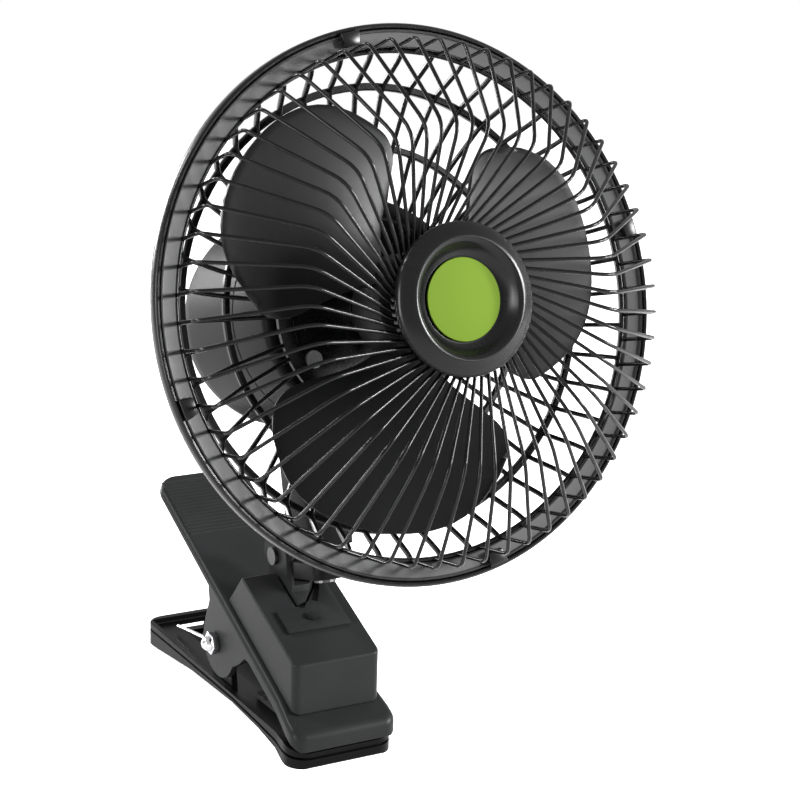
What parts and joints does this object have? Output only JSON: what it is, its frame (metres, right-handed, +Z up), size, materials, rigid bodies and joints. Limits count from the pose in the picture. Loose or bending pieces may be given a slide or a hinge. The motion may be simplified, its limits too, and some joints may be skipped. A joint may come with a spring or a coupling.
{
  "type": "clip fan",
  "caption": "Small oscillating fan with a wire guard, tilting neck and a sprung clamp that it stands on or clips with.",
  "frame": {"origin": "on the ground under the axis of the clamp's pivot rod, at the underside of the lower jaw", "axes": "+Z up, -Y the way the clamp's nose and the blown air point, X along the pivot rod"},
  "size_m": [0.184, 0.2294, 0.2678],
  "materials": {
    "black_plastic": "moulded, satin gloss",
    "grey_plastic": "charcoal grey, fine matt grain",
    "blade_plastic": "smoke black, glossy",
    "satin_ring": "satin grey-black",
    "black_wire": "black gloss coating",
    "chrome": "bright plating",
    "steel": "plain",
    "core": "laminated core",
    "label": "printed green, satin",
    "rubber": "ribbed, matt",
    "brass": "plain"
  },
  "bodies": {
    "lower_clamp": {"lower_jaw": "black_plastic", "pivot_rod": "chrome", "cap_nut_left": "chrome", "cap_nut_right": "chrome", "torsion_spring": "chrome", "lower_pad": "rubber"},
    "upper_clamp": {"upper_jaw": "grey_plastic", "upper_pad": "rubber", "base_box": "grey_plastic", "cover_plate": "grey_plastic", "cover_screw": "steel", "neck_base": "grey_plastic", "tilt_bolt": "steel"},
    "tilt_lock": {"tilt_knob": "black_plastic"},
    "neck": {"neck_arm": "grey_plastic", "swing_pin": "steel", "swing_clip": "steel"},
    "head": {"rear_guard": "black_plastic", "guard_flange": "satin_ring", "guard_clip_1": "black_plastic", "guard_clip_2": "black_plastic", "guard_clip_3": "black_plastic", "guard_clip_4": "black_plastic", "front_guard": "black_wire", "badge_cap": "black_plastic", "badge_label": "label", "guard_screw_1": "steel", "guard_screw_2": "steel", "guard_screw_3": "steel", "motor_can": "steel", "stator_core": "core", "bearing_front": "brass", "bearing_rear": "brass", "motor_case_front": "grey_plastic", "motor_case_rear": "grey_plastic", "gear_block": "grey_plastic", "switch_bush": "black_plastic"},
    "rotor": {"fan_blade": "blade_plastic", "blade_nut": "black_plastic", "motor_shaft": "steel", "rotor_core": "core"},
    "swing_drive": {"osc_spindle": "brass"},
    "pull_knob": {"osc_knob": "black_plastic"},
    "switch": {"switch_toggle": "black_plastic"}
  },
  "joints": [
    {"name": "jaw_open", "type": "hinge", "parent": "lower_clamp", "child": "upper_clamp", "pos_m": [0, 0, 0.0252], "axis": [-1, 0, 0], "range_deg": [0, 28], "stiffness_Nm_per_rad": 1.5, "springref_deg": -28.65, "deforming": ["torsion_spring"]},
    {"name": "tilt_lock_turn", "type": "hinge", "parent": "upper_clamp", "child": "tilt_lock", "pos_m": [0.002, -0.02, 0.0645], "axis": [1, 0, 0], "range_deg": [0, 90]},
    {"name": "head_tilt", "type": "hinge", "parent": "upper_clamp", "child": "neck", "pos_m": [0.002, -0.02, 0.0645], "axis": [-1, 0, 0], "range_deg": [-20, 45]},
    {"name": "head_swing", "type": "hinge", "parent": "neck", "child": "head", "pos_m": [0.002, -0.04385, 0.07535], "axis": [0, 0.2554, 0.9668], "range_deg": [-40, 40]},
    {"name": "fan_spin", "type": "hinge", "parent": "head", "child": "rotor", "pos_m": [0, -0.1116, 0.1791], "axis": [0, -0.9668, 0.2554], "continuous": true},
    {"name": "swing_drive_turn", "type": "hinge", "parent": "head", "child": "swing_drive", "pos_m": [0.008, -0.01685, 0.15407], "axis": [0, 0.2554, 0.9668], "continuous": true},
    {"name": "pull_knob_lift", "type": "slide", "parent": "head", "child": "pull_knob", "axis": [0, 0.2554, 0.9668], "range_m": [0, 0.005]},
    {"name": "switch_flip", "type": "hinge", "parent": "head", "child": "switch", "pos_m": [0.0128, -0.04187, 0.07896], "axis": [0, -0.9668, 0.2554], "range_deg": [-12, 12]}
  ],
  "couplings": [
    {"joint": "swing_drive_turn", "follows": "fan_spin", "ratio": 0.03333}
  ]
}
